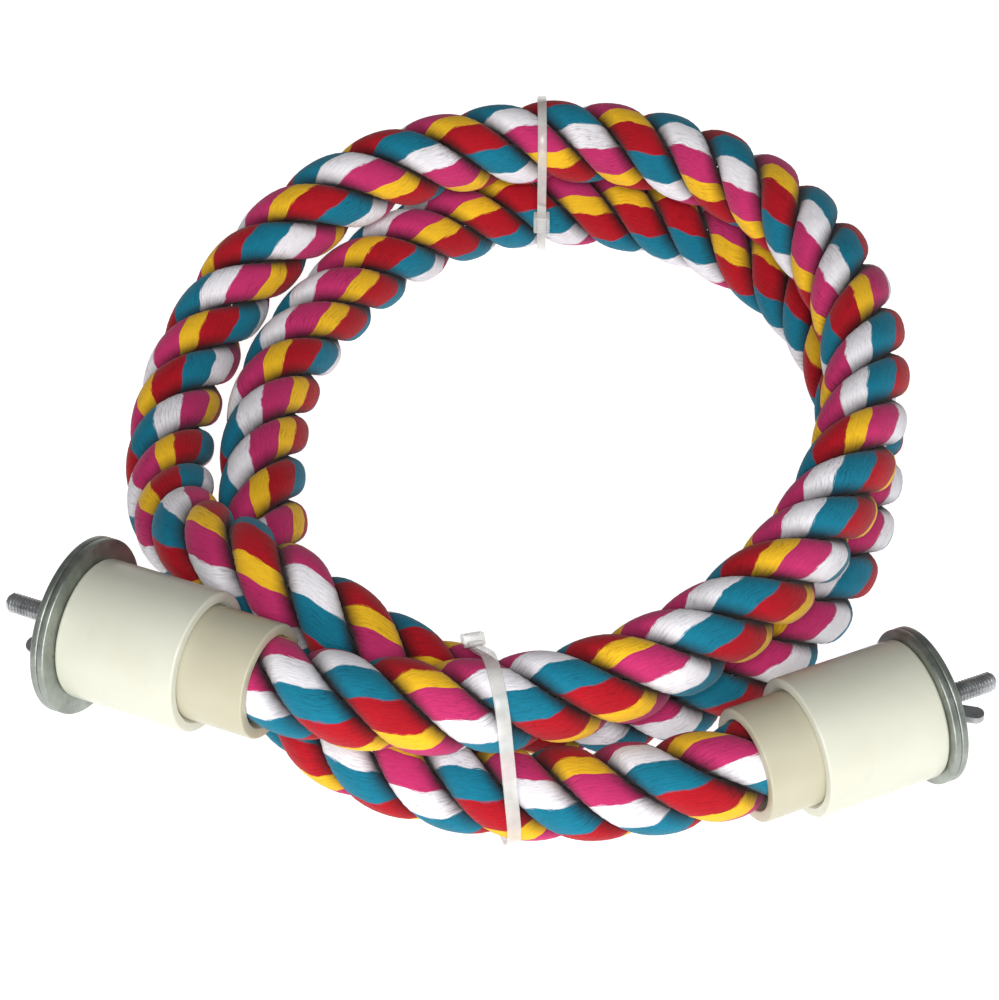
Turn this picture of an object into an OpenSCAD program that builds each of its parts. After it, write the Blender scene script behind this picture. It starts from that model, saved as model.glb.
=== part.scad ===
/* [Rope] */
// Diameter of the laid rope over its three strands
rope_d = 27; // [24:0.5:27.5]
// Length of rope in which a strand goes round once
lay_length = 57; // [40:1:70]
// Clear gap between two neighbouring strands
strand_gap = 0.4; // [0.3:0.05:1]
// Diameter of the bendable wire in the middle of the rope
wire_d = 3; // [2:0.1:3.6]
// Length of rope pushed into each sleeve
rope_in = 26; // [18:1:34]

/* [Sleeve and cap] */
// How much narrower than the rope the bore of the pipe sleeve is
rope_squeeze = 0.4; // [0.2:0.1:1]
// Wall of the pipe sleeve
sleeve_wall = 3.4; // [2.5:0.1:4.5]
// Length of the left sleeve that shows outside its cap
left_sleeve_out = 20; // [12:0.5:30]
// Length of the right sleeve that shows outside its cap
right_sleeve_out = 16; // [12:0.5:30]
// Depth of the sleeve in the cap
sleeve_in = 24; // [15:0.5:28]
// Side wall of the end cap
cap_side = 3.7; // [2.8:0.1:5]
// Overall length of the end cap
cap_len = 38; // [32:0.5:42]
// Thickness of the end wall of the cap
cap_wall = 5; // [3:0.5:7]
// Radius of the rounded edge of the cap
cap_round = 1.2; // [0.5:0.1:1.5]
// Radial glue gap between the sleeve and the cap
glue_gap = 0.1; // [0.05:0.05:0.3]

/* [Bolt] */
// Diameter of the bolt
bolt_d = 6; // [5:0.5:8]
// Length of the left bolt past the outer washer
left_bolt_out = 24; // [18:0.5:30]
// Length of the right bolt past the outer washer
right_bolt_out = 22; // [18:0.5:30]
// Width across the flats of the bolt head
head_flats = 10; // [9:0.5:14]
// Thickness of the bolt head
head_h = 4; // [3:0.25:6]
// Chamfer at the tip of the bolt
bolt_chamfer = 0.8; // [0.3:0.1:1.2]

/* [Washers] */
// How far the two left washers stand out past the cap
left_washer_rim = 5.5; // [1:0.5:8]
// How far the two right washers stand out past the cap
right_washer_rim = 2.5; // [1:0.5:8]
// Thickness of each washer
washer_t = 2.2; // [1.5:0.1:3]
// Radial clearance of a washer and the cap on the bolt
washer_gap = 0.2; // [0.1:0.05:0.5]
// Radius of the stamped edge of a washer
washer_round = 0.5; // [0.2:0.1:0.7]

/* [Wing nut] */
// Diameter of the foot of the nut
nut_foot_d = 12.6; // [11:0.1:15]
// Diameter of the top of the hub
nut_top_d = 9.6; // [9:0.1:12]
// Height of the hub
nut_h = 7; // [6:0.5:10]
// Distance across both wings
wing_span = 26; // [24:0.5:36]
// Height of the wing tips over the foot
wing_h = 12; // [10:0.5:18]
// Thickness of a wing
wing_t = 2; // [1.5:0.1:3]
// Radius of the rounded wing tip
wing_tip_r = 2.5; // [2:0.1:3.5]
// Radial clearance of the nut's thread on the bolt
thread_gap = 0.05; // [0.02:0.01:0.1]
// How far the left nut is turned
left_nut_angle = 75; // [0:5:180]
// How far the right nut is turned
right_nut_angle = 80; // [0:5:180]

/* [Ties] */
// Width of the strap of the top tie
top_tie_w = 3; // [2:0.1:5]
// Width of the strap of the bottom tie
bottom_tie_w = 4; // [2.5:0.1:6]
// Thickness of a strap
strap_t = 1.1; // [0.8:0.1:1.6]
// Gap between a strap and the rope under it
strap_gap = 0.4; // [0.15:0.05:0.5]
// Length of the locking head of a tie
tie_head_l = 6.5; // [5:0.5:9]
// Height of the locking head over the strap
tie_head_h = 3.4; // [2.5:0.1:5]
// Extra width of the locking head on each side
tie_head_side = 1.2; // [0.8:0.1:2]
// Length of the cut tail past the head
tie_tail = 4; // [2:0.5:8]
// How far the bottom tie is slanted across the rope
bottom_tie_slant = 12; // [0:1:20]

/* [Hidden] */
over = 0.5;
round_fn = 96;
wing_fn = 32;
tie_fn = 48;
hex_fn = 6;

// Sizes of the fittings that follow from the rope
sleeve_bore = rope_d - rope_squeeze;
sleeve_d = sleeve_bore + 2 * sleeve_wall;
socket_d = sleeve_d + 2 * glue_gap;
cap_d = socket_d + 2 * cap_side;
left_washer_d = cap_d + 2 * left_washer_rim;
right_washer_d = cap_d + 2 * right_washer_rim;

// Where each sleeve opens, and which way its bolt points
left_mouth = [-64, -104, 40.5];
left_azimuth = 155;
left_pitch = -5.5;
right_mouth = [68.5, -121.5, 25];
right_azimuth = 24;
right_pitch = -2;

// The rope from the left sleeve to the right one: over the front, twice round, under the front
route = [
    [-39, -112, 41.5], [-17, -113, 39.5], [7, -110, 38.5], [31, -103, 38.5], [55, -89, 38.5],
    [77, -69, 39], [95, -44, 38.5], [107, -16, 39], [113, 13, 39], [113, 41, 39],
    [106, 69, 39], [92, 94, 39], [70, 113, 39], [44, 124, 39], [17, 127, 39],
    [-11, 122, 39], [-38, 113, 38], [-63, 99, 32.5], [-83, 80, 22.5], [-96, 57, 14],
    [-103, 30, 11], [-103, 2, 12], [-99, -24, 18], [-91, -44, 31], [-73, -60, 40.5],
    [-52, -77, 38], [-27, -88, 25], [-1, -92, 13.5], [27, -92, 11], [56, -85, 11],
    [81, -68, 11], [98, -44, 11], [109, -16, 11], [114, 13, 11], [113, 42, 11],
    [105, 71, 11], [89, 96, 11], [66, 114, 11], [39, 125, 11], [10, 126, 11],
    [-17, 117, 11], [-39, 99, 11], [-55, 77, 11], [-68, 53, 11], [-74, 26, 11],
    [-74, -2, 11], [-71, -30, 11], [-68, -57, 11], [-63, -83, 11], [-47, -104, 11],
    [-22, -116, 11], [7, -123, 13], [35, -127, 20]
];

// Where the two ties cross the rope, and which way the rope runs there
top_tie_place = [14, 127, 0];
top_tie_heading = 180;
bottom_tie_place = [-2, -108, 0];
bottom_tie_heading = 0;

// Straight rope inside and just outside each sleeve
function toward(azimuth, pitch) = [cos(pitch) * cos(azimuth), cos(pitch) * sin(azimuth), sin(pitch)];
left_out = toward(left_azimuth, left_pitch);
right_out = toward(right_azimuth, right_pitch);
knots = concat(
    [left_mouth + rope_in * left_out, left_mouth + rope_in / 2 * left_out,
        left_mouth, left_mouth - rope_in / 2 * left_out],
    route,
    [right_mouth - rope_in / 2 * right_out, right_mouth,
        right_mouth + rope_in / 2 * right_out, right_mouth + rope_in * right_out]
);
last = len(knots) - 1;
function knot(i) =
    i < 0 ? 2 * knots[0] - knots[1] :
    i > last ? 2 * knots[last] - knots[last - 1] : knots[i];

// Smooth curve that follows the knots
function blend(i, t) = (
    pow(1 - t, 3) * knot(i - 1) + (3 * pow(t, 3) - 6 * t * t + 4) * knot(i)
    + (-3 * pow(t, 3) + 3 * t * t + 3 * t + 1) * knot(i + 1) + pow(t, 3) * knot(i + 2)) / 6;
parts_per_knot = 6;
curve = [
    for (i = [0 : last - 1], k = [0 : parts_per_knot - 1]) blend(i, k / parts_per_knot),
    knots[last]
];
steps = [for (i = [1 : len(curve) - 1]) norm(curve[i] - curve[i - 1])];
travel = [for (i = 0, sum = 0; i <= len(steps); sum = i < len(steps) ? sum + steps[i] : sum, i = i + 1) sum];
rope_length = travel[len(travel) - 1];
along_x = [for (i = [0 : len(curve) - 1]) [travel[i], curve[i][0]]];
along_y = [for (i = [0 : len(curve) - 1]) [travel[i], curve[i][1]]];
along_z = [for (i = [0 : len(curve) - 1]) [travel[i], curve[i][2]]];
function centre(s) = [lookup(s, along_x), lookup(s, along_y), lookup(s, along_z)];

// The rope is squeezed where it goes into a sleeve
squeeze_gap = 0.2;
squeeze = min(1, (sleeve_bore / 2 - squeeze_gap) / (rope_d / 2));
swell_len = rope_d / 2;
swelling = [
    [0, squeeze], [rope_in, squeeze], [rope_in + swell_len, 1],
    [rope_length - rope_in - swell_len, 1], [rope_length - rope_in, squeeze], [rope_length, squeeze]
];

// A frame on the curve: ahead, to the left and up
function unit(v) = v / norm(v);
probe = rope_d / 8;
function ahead(s) = unit(centre(min(s + probe, rope_length)) - centre(max(s - probe, 0)));
function leftward(t) = unit(cross([0, 0, 1], t));
function ring(s, points) =
    let (c = centre(s), t = ahead(s), n = leftward(t), b = cross(t, n), low = rest(c))
    [for (p = points) let (q = c + p[0] * cos(p[1]) * n + p[0] * sin(p[1]) * b) [q[0], q[1], max(q[2], low)]];

// The rope is pressed flat where it rests, and a little higher where a strap passes under it
strap_reach = lay_length / 4;
tie_reach = 2 * rope_d;
function under_strap(c, place, heading) =
    let (away = [c[0], c[1], 0] - place)
    norm(away) < tie_reach && abs(away * [cos(heading), sin(heading), 0]) < strap_reach;
function rest(c) =
    under_strap(c, top_tie_place, top_tie_heading)
    || under_strap(c, bottom_tie_place, bottom_tie_heading + bottom_tie_slant)
    ? strap_t + strap_gap : 0;

// One unbroken tube through a list of rings with as many points each.
// The sides in the list named forward are split along their forward diagonal.
function split(near_a, near_b, far_a, far_b, forward) =
    forward ? [[near_a, far_a, far_b], [near_a, far_b, near_b]]
        : [[near_a, far_a, near_b], [far_a, far_b, near_b]];
module tube(rings, forward = []) {
    n = len(rings[0]);
    m = len(rings);
    polyhedron(
        points = [for (r = rings) each r],
        faces = concat(
            [for (k = [1 : n - 2]) [0, k, k + 1]],
            [for (k = [1 : n - 2]) [(m - 1) * n, (m - 1) * n + k + 1, (m - 1) * n + k]],
            [for (i = [0 : m - 2], k = [0 : n - 1])
                let (near = i * n, far = (i + 1) * n, next = (k + 1) % n)
                each split(near + k, near + next, far + k, far + next, len(search(k, forward)) > 0)]
        )
    );
}

// Section of a strand: how far out each outer point lies, as a share of the rope's radius,
// and how far round, as a share of the sixth of a turn that the strand fills on each side
strand_shares = [[1, 0], [0.9, 0.45], [0.61, 1], [0.61, -1], [0.9, -0.45]];
rings_per_lay = 8.15;
strand_rings = ceil(rope_length * rings_per_lay / lay_length);
strand_side = strand_shares[2][0];
strands = 3;
round_turn = 360;
half_strand = round_turn / strands / 2 - asin(strand_gap / (rope_d * strand_side));

// The inner edge of a strand grips the wire in the sleeves and stands off it elsewhere
grip_gap = 0.3;
grip_r = wire_d / 2 + grip_gap;
loose_share = 0.12;
loose_r = rope_d * loose_share;
inner_edge = [
    [0, grip_r], [rope_in, grip_r], [rope_in + swell_len, loose_r],
    [rope_length - rope_in - swell_len, loose_r], [rope_length - rope_in, grip_r], [rope_length, grip_r]
];

module strand(count) {
    tube([
        for (i = [0 : strand_rings])
            let (
                s = rope_length * i / strand_rings,
                r = rope_d / 2 * lookup(s, swelling),
                a = round_turn * (count / strands + s / lay_length),
                outer = [for (p = strand_shares) [p[0] * r, p[1] * half_strand + a]]
            )
            ring(s, [outer[0], outer[1], outer[2], [lookup(s, inner_edge), a], outer[3], outer[4]])
    ], [2, 3]);
}
module rope_strand_1() {
    color([0.78, 0.2, 0.4]) strand(0);
}
module rope_strand_2() {
    color([0.04, 0.52, 0.63]) strand(1);
}
module rope_strand_3() {
    color([0.92, 0.78, 0.18]) strand(2);
}

// The wire between the strands
wire_sides = 6;
wire_rings = 68;
module core_wire() {
    color([0.45, 0.46, 0.48])
    tube([
        for (i = [0 : wire_rings - 1])
            ring(rope_length * i / (wire_rings - 1), [
                for (k = [0 : wire_sides - 1]) [wire_d / 2, round_turn * k / wire_sides]
            ])
    ]);
}

// The least gap between turns of the rope, measured on points along it
gap_points = 300;
gap_step = rope_length / gap_points;
near_turn = 3 * rope_d;
places = [for (i = [0 : gap_points]) centre(i * gap_step)];
least_gap = min([
    for (i = [0 : gap_points], j = [i + 1 : gap_points])
        if ((j - i) * gap_step > near_turn) norm(places[i] - places[j])
]) - rope_d;
echo(rope_length = rope_length, least_gap_between_turns = least_gap);

// Puts a fitting at the mouth of its sleeve, with Z along its bolt
module at_end(mouth, azimuth, pitch) {
    translate(mouth) rotate([0, 90 - pitch, azimuth]) children();
}
module at_left() {
    at_end(left_mouth, left_azimuth, left_pitch) children();
}
module at_right() {
    at_end(right_mouth, right_azimuth, right_pitch) children();
}

// Sleeve, a cut piece of plastic pipe with broken edges
sleeve_edge = 0.6;
module sleeve(out) {
    long = out + sleeve_in;
    wall = (sleeve_d - sleeve_bore) / 2;
    rotate_extrude($fn = round_fn)
        translate([sleeve_bore / 2, 0])
            polygon([
                [0, sleeve_edge], [sleeve_edge, 0], [wall - sleeve_edge, 0], [wall, sleeve_edge],
                [wall, long - sleeve_edge], [wall - sleeve_edge, long],
                [sleeve_edge, long], [0, long - sleeve_edge]
            ]);
}
module left_pipe_sleeve() {
    color([0.93, 0.91, 0.8]) at_left() sleeve(left_sleeve_out);
}
module right_pipe_sleeve() {
    color([0.93, 0.91, 0.8]) at_right() sleeve(right_sleeve_out);
}

// End cap, a slip socket with a rounded far edge, a bevelled lip and a hole for the bolt
cap_lip = 0.8;
socket_bevel = 1;
hole_d = bolt_d + 2 * washer_gap;
module cap_corner() {
    translate([cap_d / 2 - cap_round, cap_len - cap_round])
        intersection() {
            circle(cap_round, $fn = round_fn);
            square(cap_round + over);
        }
}
module cap(out) {
    translate([0, 0, out])
        rotate_extrude($fn = round_fn)
            union() {
                polygon([
                    [socket_d / 2 + socket_bevel, 0], [cap_d / 2 - cap_lip, 0], [cap_d / 2, cap_lip],
                    [cap_d / 2, cap_len - cap_round], [cap_d / 2 - cap_round, cap_len - cap_round],
                    [cap_d / 2 - cap_round, cap_len], [hole_d / 2, cap_len],
                    [hole_d / 2, cap_len - cap_wall], [socket_d / 2, cap_len - cap_wall],
                    [socket_d / 2, socket_bevel]
                ]);
                cap_corner();
            }
}
module left_end_cap() {
    color([0.95, 0.94, 0.86]) at_left() cap(left_sleeve_out);
}
module right_end_cap() {
    color([0.95, 0.94, 0.86]) at_right() cap(right_sleeve_out);
}

// Hexagon bolt: its head sits inside the cap against the end wall
washers_t = 2 * washer_t;
head_shares = 0.96;
module bolt(out, past) {
    long = cap_wall + washers_t + past;
    translate([0, 0, out + cap_len - cap_wall]) {
        cylinder(h = long - bolt_chamfer, d = bolt_d, $fn = round_fn);
        translate([0, 0, long - bolt_chamfer])
            cylinder(h = bolt_chamfer, d1 = bolt_d, d2 = bolt_d - 2 * bolt_chamfer, $fn = round_fn);
        translate([0, 0, -head_h])
            intersection() {
                cylinder(h = head_h, d = head_flats / cos(30), $fn = hex_fn);
                cylinder(h = head_h, d1 = head_flats * head_shares,
                    d2 = head_flats * head_shares + 2 * head_h, $fn = round_fn);
            }
    }
}
module left_bolt() {
    color([0.6, 0.61, 0.62]) at_left() bolt(left_sleeve_out, left_bolt_out);
}
module right_bolt() {
    color([0.6, 0.61, 0.62]) at_right() bolt(right_sleeve_out, right_bolt_out);
}

// Wide washer with rounded edges
module washer(d, out, place) {
    translate([0, 0, out + cap_len + place * washer_t])
        rotate_extrude($fn = round_fn)
            translate([hole_d / 2, 0])
                let (w = (d - hole_d) / 2, r = washer_round, c = washer_round * (1 - cos(45)))
                polygon([
                    [c, c], [r, 0], [w - r, 0], [w - c, c], [w, r],
                    [w, washer_t - r], [w - c, washer_t - c], [w - r, washer_t],
                    [r, washer_t], [c, washer_t - c], [0, washer_t - r], [0, r]
                ]);
}
module left_inner_washer() {
    color([0.6, 0.62, 0.6]) at_left() washer(left_washer_d, left_sleeve_out, 0);
}
module left_outer_washer() {
    color([0.6, 0.62, 0.6]) at_left() washer(left_washer_d, left_sleeve_out, 1);
}
module right_inner_washer() {
    color([0.6, 0.62, 0.6]) at_right() washer(right_washer_d, right_sleeve_out, 0);
}
module right_outer_washer() {
    color([0.6, 0.62, 0.6]) at_right() washer(right_washer_d, right_sleeve_out, 1);
}

// Wing nut: a tapered hub on a flat foot, and two wings that sweep up and out
foot_h = 1.5;
wing_root_shares = [0.3, 0.95];
module wing_outline() {
    hull() {
        translate([wing_span / 2 - wing_tip_r, wing_h - wing_tip_r]) circle(wing_tip_r, $fn = wing_fn);
        translate([nut_top_d / 2 + wing_tip_r / 2, nut_h * wing_root_shares[1] - wing_tip_r])
            circle(wing_tip_r, $fn = wing_fn);
    }
    hull() {
        translate([nut_top_d / 2 + wing_tip_r / 2, nut_h * wing_root_shares[1] - wing_tip_r])
            circle(wing_tip_r, $fn = wing_fn);
        translate([bolt_d / 2, nut_h * wing_root_shares[0]]) circle(foot_h / 2, $fn = wing_fn);
        translate([bolt_d / 2, nut_h - foot_h]) circle(foot_h / 2, $fn = wing_fn);
    }
}
module wing_nut(out, turn) {
    translate([0, 0, out + cap_len + washers_t])
        rotate([0, 0, turn])
            difference() {
                union() {
                    cylinder(h = foot_h, d = nut_foot_d, $fn = round_fn);
                    translate([0, 0, foot_h])
                        cylinder(h = nut_h - foot_h, d1 = nut_foot_d - foot_h, d2 = nut_top_d, $fn = round_fn);
                    for (side = [0, 180])
                        rotate([90, 0, side])
                            translate([0, 0, -wing_t / 2]) linear_extrude(wing_t) wing_outline();
                }
                translate([0, 0, -over])
                    cylinder(h = wing_h + 2 * over, d = bolt_d + 2 * thread_gap, $fn = round_fn);
            }
}
module left_wing_nut() {
    color([0.66, 0.67, 0.68]) at_left() wing_nut(left_sleeve_out, left_nut_angle);
}
module right_wing_nut() {
    color([0.66, 0.67, 0.68]) at_right() wing_nut(right_sleeve_out, right_nut_angle);
}

// Where the rope crosses an upright plane, between two shares of its length
plane_tries = 40;
function off_plane(s, place, normal) = (centre(s) - place) * normal;
function crossing(place, normal, share) =
    let (
        from = rope_length * share[0],
        long = rope_length * (share[1] - share[0]),
        tries = [for (i = [0 : plane_tries]) from + long * i / plane_tries],
        offs = [for (s = tries) abs(off_plane(s, place, normal))],
        near = min(offs),
        s = [for (i = [0 : plane_tries]) if (offs[i] == near) tries[i]][0]
    )
    s - off_plane(s, place, normal) / (ahead(s) * normal);

// Cable tie round some turns: a flat strap, its locking head on the inner side and its cut tail.
// The first two shares of the rope's length are those of the turns that the head lies between.
head_round = 0.8;
module tie(place, heading, shares, width, head_share) {
    normal = [cos(heading), sin(heading), 0];
    side = [sin(heading), -cos(heading), 0];
    turns = [
        for (share = shares)
            let (s = crossing(place, normal, share), c = centre(s) - place, t = ahead(s))
            [c * side, c[2], 1 / abs(t * normal), 1 / norm([t[0], t[1]])]
    ];
    inner_r = rope_d / 2 + strap_gap;
    seat = turns[0] + head_share * (turns[1] - turns[0]);
    lean = atan2(turns[1][1] - turns[0][1], turns[1][0] - turns[0][0]);
    off = inner_r * (1 + (seat[2] - 1) * abs(sin(lean))) + strap_t / 2;
    thick = strap_t / 2 + tie_head_h;
    translate(place)
        rotate([90, 0, heading - 90])
            union() {
                linear_extrude(width, center = true)
                    difference() {
                        above(0) hull() tie_rounds(turns, inner_r + strap_t);
                        above(strap_t) hull() tie_rounds(turns, inner_r);
                    }
                translate([seat[0], seat[1]])
                    rotate(lean)
                        translate([0, off, 0]) {
                            translate([0, thick / 2, 0])
                                linear_extrude(width + 2 * tie_head_side, center = true)
                                    offset(head_round)
                                        square([tie_head_l - 2 * head_round, thick - 2 * head_round],
                                            center = true);
                            translate([0, strap_t / 2, -width / 2])
                                cube([tie_head_l / 2 + tie_tail, strap_t, width]);
                        }
            }
}
module above(y) {
    intersection() {
        children();
        translate([-tie_reach, y]) square(2 * tie_reach);
    }
}
module tie_rounds(turns, r) {
    for (t = turns)
        translate([t[0], t[1]]) scale([t[2], t[3]]) circle(r, $fn = tie_fn);
}
top_tie_shares = [[0.7, 0.77], [0.26, 0.32]];
top_head_share = 0.25;
bottom_tie_shares = [[0.48, 0.54], [0.03, 0.1], [0.9, 0.97]];
bottom_head_share = 0.15;
module top_tie() {
    color([0.9, 0.9, 0.87, 0.8])
        tie(top_tie_place, top_tie_heading, top_tie_shares, top_tie_w, top_head_share);
}
module bottom_tie() {
    color([0.9, 0.9, 0.87, 0.8])
        tie(bottom_tie_place, bottom_tie_heading + bottom_tie_slant, bottom_tie_shares,
            bottom_tie_w, bottom_head_share);
}

rope_strand_1();
rope_strand_2();
rope_strand_3();
core_wire();
left_pipe_sleeve();
left_end_cap();
left_bolt();
left_inner_washer();
left_outer_washer();
left_wing_nut();
right_pipe_sleeve();
right_end_cap();
right_bolt();
right_inner_washer();
right_outer_washer();
right_wing_nut();
top_tie();
bottom_tie();
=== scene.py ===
import bpy
import math
import numpy as np
from mathutils import Matrix, Vector


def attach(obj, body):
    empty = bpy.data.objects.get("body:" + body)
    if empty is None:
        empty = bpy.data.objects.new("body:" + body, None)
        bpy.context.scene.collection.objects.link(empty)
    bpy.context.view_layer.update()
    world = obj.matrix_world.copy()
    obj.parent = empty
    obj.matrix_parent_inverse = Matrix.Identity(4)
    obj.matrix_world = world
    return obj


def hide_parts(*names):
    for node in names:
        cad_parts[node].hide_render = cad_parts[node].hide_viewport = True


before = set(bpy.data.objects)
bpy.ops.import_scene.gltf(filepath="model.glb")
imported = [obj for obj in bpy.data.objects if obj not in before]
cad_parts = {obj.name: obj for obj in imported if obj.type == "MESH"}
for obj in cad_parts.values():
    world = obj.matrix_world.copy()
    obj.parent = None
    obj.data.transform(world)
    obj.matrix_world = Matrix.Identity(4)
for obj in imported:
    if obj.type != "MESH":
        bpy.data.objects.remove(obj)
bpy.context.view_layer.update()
print("frame loaded:", len(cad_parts), "nodes")

# Camera, at the angle that the photograph was taken from
camera = {
    "elevation": 48,
    "distance": 0.9,
    "target": (0, -0.015, 0.0175),
    "lens": 106.2,
    "sensor": 36,
    "sees": (0.05, 20),
}


def placeCamera():
    tilt = math.radians(camera["elevation"])
    back = Vector((0, -math.cos(tilt), math.sin(tilt)))
    data = bpy.data.cameras.new("photoCamera")
    data.lens = camera["lens"]
    data.sensor_width = camera["sensor"]
    data.clip_start, data.clip_end = camera["sees"]
    made = bpy.data.objects.new("photoCamera", data)
    made.location = Vector(camera["target"]) + back * camera["distance"]
    made.rotation_euler = back.to_track_quat("Z", "Y").to_euler()
    bpy.context.scene.collection.objects.link(made)
    bpy.context.scene.camera = made


placeCamera()
print("camera placed")

# The rope: its route from the left sleeve round to the right one, in metres
rope = {
    "diameter": 0.027,
    "layLength": 0.057,
    "into": 0.026,            # how deep each end goes into its sleeve
    "squeezed": 13.1 / 13.5,  # in the sleeves
    "swell": 0.0135,
    "leftMouth": (-0.064, -0.104, 0.0405),
    "leftWay": (155, -5.5),
    "rightMouth": (0.0685, -0.1215, 0.025),
    "rightWay": (24, -2),
    "route": [
        (-0.039, -0.112, 0.0415), (-0.017, -0.113, 0.0395), (0.007, -0.11, 0.0385), (0.031, -0.103, 0.0385),
        (0.055, -0.089, 0.0385), (0.077, -0.069, 0.039), (0.095, -0.044, 0.0385), (0.107, -0.016, 0.039),
        (0.113, 0.013, 0.039), (0.113, 0.041, 0.039), (0.106, 0.069, 0.039), (0.092, 0.094, 0.039),
        (0.07, 0.113, 0.039), (0.044, 0.124, 0.039), (0.017, 0.127, 0.039), (-0.011, 0.122, 0.039),
        (-0.038, 0.113, 0.038), (-0.063, 0.099, 0.0325), (-0.083, 0.08, 0.0225), (-0.096, 0.057, 0.014),
        (-0.103, 0.03, 0.011), (-0.103, 0.002, 0.012), (-0.099, -0.024, 0.018), (-0.091, -0.044, 0.031),
        (-0.073, -0.06, 0.0405), (-0.052, -0.077, 0.038), (-0.027, -0.088, 0.025), (-0.001, -0.092, 0.0135),
        (0.027, -0.092, 0.011), (0.056, -0.085, 0.011), (0.081, -0.068, 0.011), (0.098, -0.044, 0.011),
        (0.109, -0.016, 0.011), (0.114, 0.013, 0.011), (0.113, 0.042, 0.011), (0.105, 0.071, 0.011),
        (0.089, 0.096, 0.011), (0.066, 0.114, 0.011), (0.039, 0.125, 0.011), (0.01, 0.126, 0.011),
        (-0.017, 0.117, 0.011), (-0.039, 0.099, 0.011), (-0.055, 0.077, 0.011), (-0.068, 0.053, 0.011),
        (-0.074, 0.026, 0.011), (-0.074, -0.002, 0.011), (-0.071, -0.03, 0.011), (-0.068, -0.057, 0.011),
        (-0.063, -0.083, 0.011), (-0.047, -0.104, 0.011), (-0.022, -0.116, 0.011), (0.007, -0.123, 0.013),
        (0.035, -0.127, 0.02),
    ],
    "strandCentre": 0.0072,   # from the rope's centre line
    "strandWide": 0.0082,     # half a strand across, before it meets its neighbours
    "strandGap": 0.00015,
    "coreClear": 0.0021,      # kept free round the core wire
    "corner": 14.0,           # how sharply a strand turns where two walls meet
    "sides": 40,
    "ringEvery": 0.0022,
    "parts": 24,              # of the smooth curve between two points of the route
    "bandTurns": (2, 1.986, 2.044),  # colour turns in one lay length
    "bandStart": (0.58, 0.37, 0.96),
    "topTie": (0.014, 0.127, 180),
    "bottomTie": (-0.002, -0.108, 12),
    "strapLift": 0.0015,      # the rope rests on the strap under a tie
}


def headingVector(way):
    azimuth, pitch = (math.radians(a) for a in way)
    return np.array([
        math.cos(pitch) * math.cos(azimuth), math.cos(pitch) * math.sin(azimuth), math.sin(pitch)])


def smoothCurve(knots, parts):
    knots = np.vstack([2 * knots[0] - knots[1], knots, 2 * knots[-1] - knots[-2]])
    line = []
    for i in range(1, len(knots) - 2):
        for k in range(parts):
            t = k / parts
            line.append((
                (1 - t) ** 3 * knots[i - 1] + (3 * t ** 3 - 6 * t * t + 4) * knots[i]
                + (-3 * t ** 3 + 3 * t * t + 3 * t + 1) * knots[i + 1] + t ** 3 * knots[i + 2]) / 6)
    line.append(knots[-2])
    return np.array(line)


def ropeLine():
    leftOut, rightOut = headingVector(rope["leftWay"]), headingVector(rope["rightWay"])
    left, right = np.array(rope["leftMouth"]), np.array(rope["rightMouth"])
    deep = rope["into"]
    knots = [left + deep * leftOut, left + deep / 2 * leftOut, left, left - deep / 2 * leftOut]
    knots += [np.array(p) for p in rope["route"]]
    knots += [right - deep / 2 * rightOut, right, right + deep / 2 * rightOut, right + deep * rightOut]
    line = smoothCurve(np.array(knots), rope["parts"])
    travel = np.concatenate([[0], np.cumsum(np.linalg.norm(np.diff(line, axis=0), axis=1))])
    return line, travel


line, travel = ropeLine()
ropeLength = float(travel[-1])


def along(s):
    s = np.clip(s, 0, ropeLength)
    return np.stack([np.interp(s, travel, line[:, k]) for k in range(3)], -1)


def unitRows(v):
    return v / np.linalg.norm(v, axis=-1, keepdims=True)


def ropeFrames(s):
    probe = rope["diameter"] / 8
    ahead = unitRows(along(s + probe) - along(s - probe))
    inward = unitRows(np.cross(np.array([0, 0, 1.0]), ahead))
    return along(s), inward, np.cross(ahead, inward)


def restHeight(centre):
    low = np.zeros(len(centre))
    for x, y, turned in (rope["topTie"], rope["bottomTie"]):
        away = centre[:, :2] - np.array([x, y])
        turned = math.radians(turned)
        across = np.abs(away @ np.array([math.cos(turned), math.sin(turned)]))
        near = (np.linalg.norm(away, axis=1) < 2 * rope["diameter"]) & (across < rope["layLength"] / 4)
        low[near] = rope["strapLift"]
    return low


def strandReach(phi, swell):
    # How far a strand's skin lies from its own middle: an oval, pressed against both
    # neighbours and against the core, with soft corners
    middle = rope["strandCentre"] * swell
    high = (rope["diameter"] / 2) * swell - middle
    wide = rope["strandWide"] * swell
    oval = 1 / np.sqrt((np.cos(phi) / high) ** 2 + (np.sin(phi) / wide) ** 2)
    half, sharp = math.pi / 3, rope["corner"]  # half a strand's share of the turn
    side = math.sin(half) * middle - rope["strandGap"]
    walls = [
        (-math.sin(half) * np.cos(phi) + math.cos(half) * np.sin(phi), side),
        (-math.sin(half) * np.cos(phi) - math.cos(half) * np.sin(phi), side),
        (-np.cos(phi), middle - rope["coreClear"]),
    ]
    total = oval ** -sharp
    for slope, room in walls:
        total = total + (np.maximum(slope, 1e-3) / room) ** sharp
    return total ** (-1 / sharp)


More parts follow.
